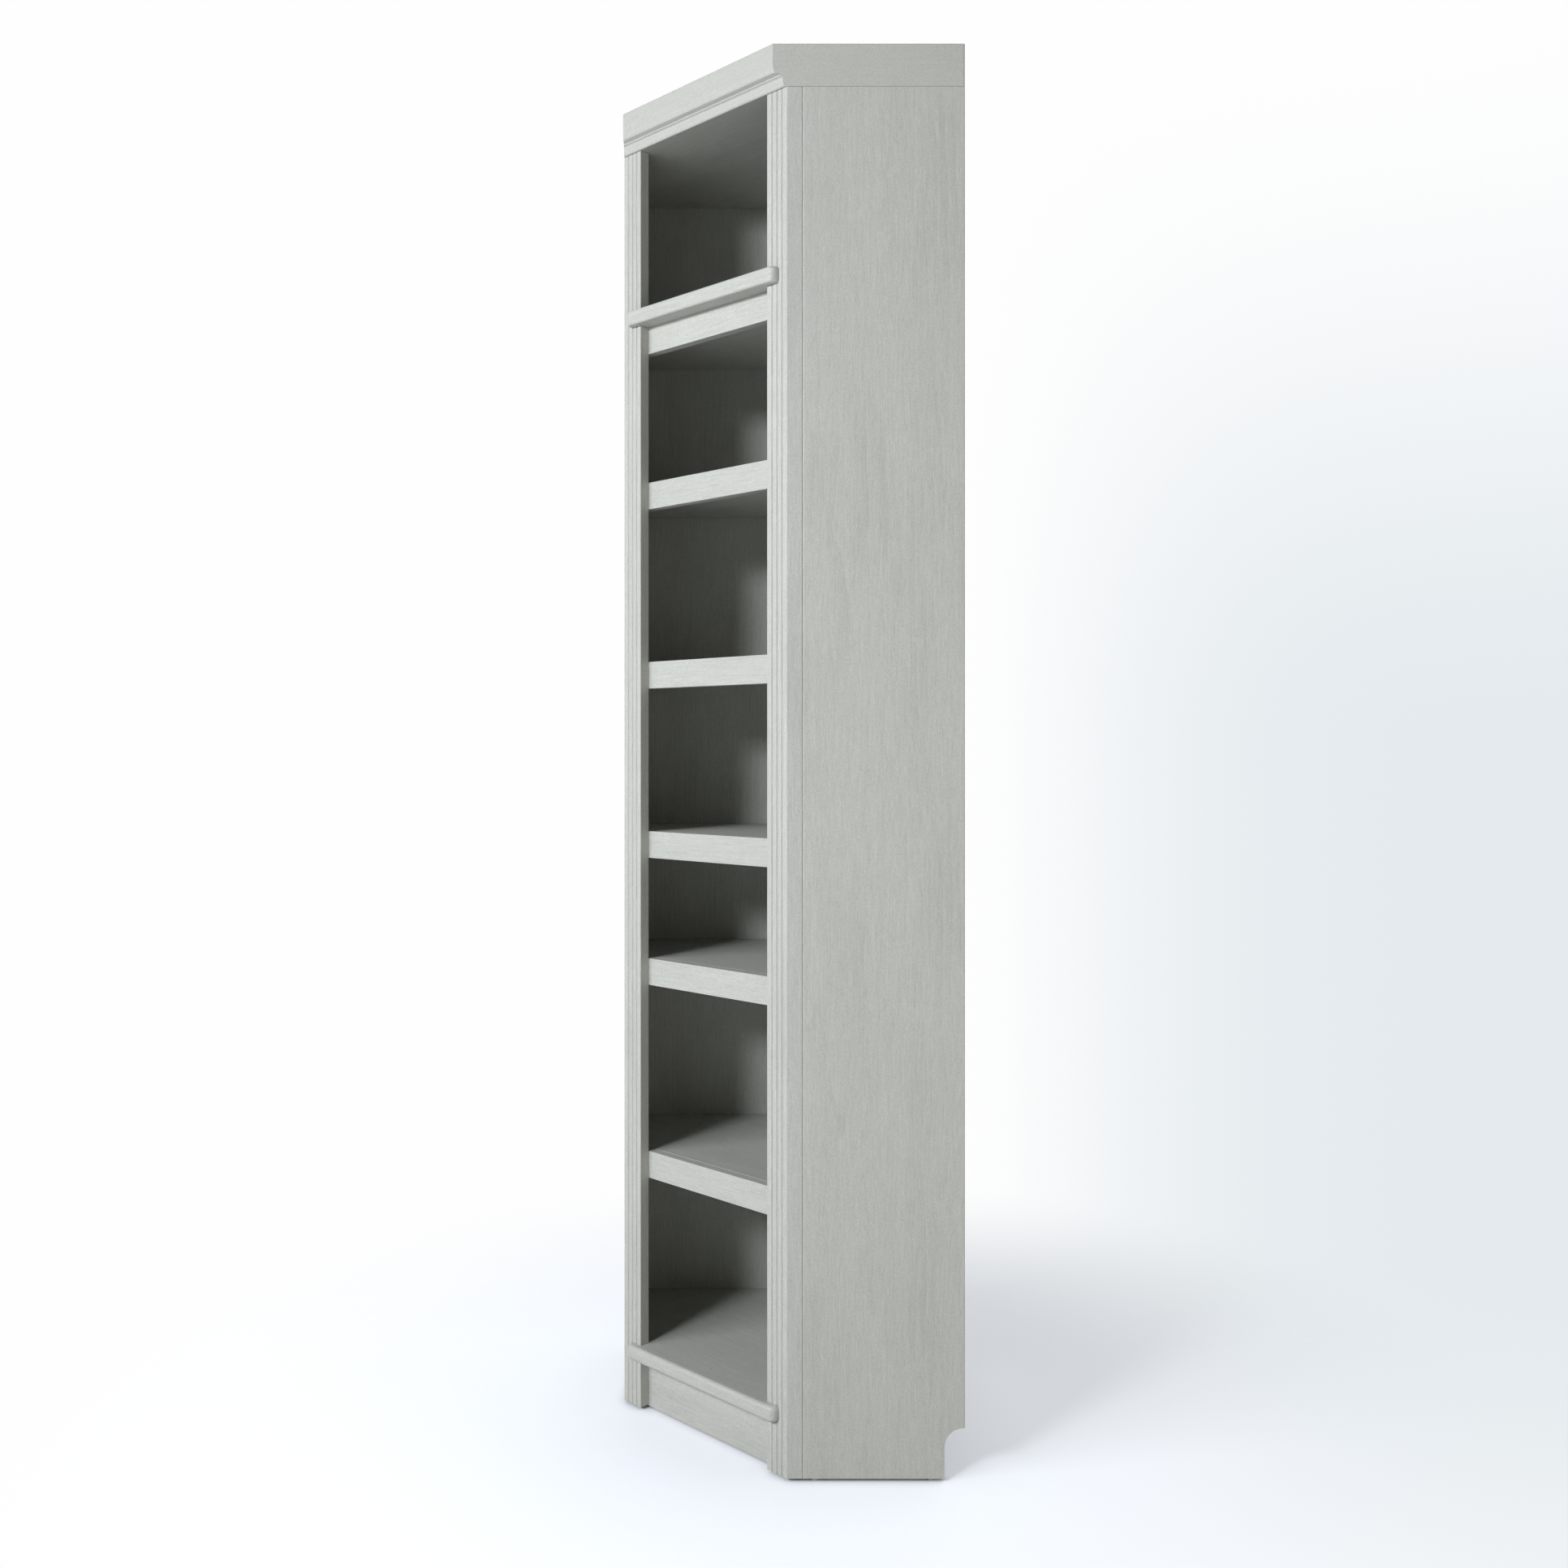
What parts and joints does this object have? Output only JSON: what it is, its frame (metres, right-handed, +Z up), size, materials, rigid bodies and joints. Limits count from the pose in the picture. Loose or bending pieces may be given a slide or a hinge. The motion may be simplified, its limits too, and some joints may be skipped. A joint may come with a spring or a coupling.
{
  "type": "corner shelf",
  "caption": "Tall painted corner bookcase with an angled front, fluted stiles, a moulded crown, a fixed upper shelf, lift-off shelves on pins and a notch for the room's baseboard.",
  "frame": {"origin": "on the floor, under the middle of the bounding box", "axes": "+Z up, front faces -Y, +X to the right as seen from the front"},
  "size_m": [0.7544, 0.552, 2.1336],
  "materials": {
    "painted_wood": "light grey satin paint over visible grain",
    "pin_steel": "plain turned steel",
    "glide_plastic": "matt grey"
  },
  "bodies": {
    "carcass": {"crown_moulding": "painted_wood", "deck": "painted_wood", "deck_nosing": "painted_wood", "fixed_shelf": "painted_wood", "fixed_shelf_lip": "painted_wood", "fixed_shelf_nosing": "painted_wood", "kick_board": "painted_wood", "left_back_panel": "painted_wood", "left_back_pin_1": "pin_steel", "left_back_pin_2": "pin_steel", "left_back_pin_3": "pin_steel", "left_back_pin_4": "pin_steel", "left_back_pin_5": "pin_steel", "left_crown_return": "painted_wood", "left_front_glide": "glide_plastic", "left_rear_glide": "glide_plastic", "left_side_panel": "painted_wood", "left_side_pin_1": "pin_steel", "left_side_pin_2": "pin_steel", "left_side_pin_3": "pin_steel", "left_side_pin_4": "pin_steel", "left_side_pin_5": "pin_steel", "left_stile": "painted_wood", "rear_leg": "painted_wood", "rear_leg_glide": "glide_plastic", "right_back_panel": "painted_wood", "right_back_pin_1": "pin_steel", "right_back_pin_2": "pin_steel", "right_back_pin_3": "pin_steel", "right_back_pin_4": "pin_steel", "right_back_pin_5": "pin_steel", "right_crown_return": "painted_wood", "right_front_glide": "glide_plastic", "right_rear_glide": "glide_plastic", "right_side_panel": "painted_wood", "right_side_pin_1": "pin_steel", "right_side_pin_2": "pin_steel", "right_side_pin_3": "pin_steel", "right_side_pin_4": "pin_steel", "right_side_pin_5": "pin_steel", "right_stile": "painted_wood", "top_panel": "painted_wood"},
    "shelf_1": {"shelf_board_1": "painted_wood", "shelf_lip_1": "painted_wood"},
    "shelf_2": {"shelf_board_2": "painted_wood", "shelf_lip_2": "painted_wood"},
    "shelf_3": {"shelf_board_3": "painted_wood", "shelf_lip_3": "painted_wood"},
    "shelf_4": {"shelf_board_4": "painted_wood", "shelf_lip_4": "painted_wood"},
    "shelf_5": {"shelf_board_5": "painted_wood", "shelf_lip_5": "painted_wood"}
  },
  "joints": [
    {"name": "shelf_1_lift", "type": "slide", "parent": "carcass", "child": "shelf_1", "axis": [0, 0, 1], "range_m": [0, 0.032]},
    {"name": "shelf_2_lift", "type": "slide", "parent": "carcass", "child": "shelf_2", "axis": [0, 0, 1], "range_m": [0, 0.032]},
    {"name": "shelf_3_lift", "type": "slide", "parent": "carcass", "child": "shelf_3", "axis": [0, 0, 1], "range_m": [0, 0.032]},
    {"name": "shelf_4_lift", "type": "slide", "parent": "carcass", "child": "shelf_4", "axis": [0, 0, 1], "range_m": [0, 0.032]},
    {"name": "shelf_5_lift", "type": "slide", "parent": "carcass", "child": "shelf_5", "axis": [0, 0, 1], "range_m": [0, 0.032]}
  ]
}
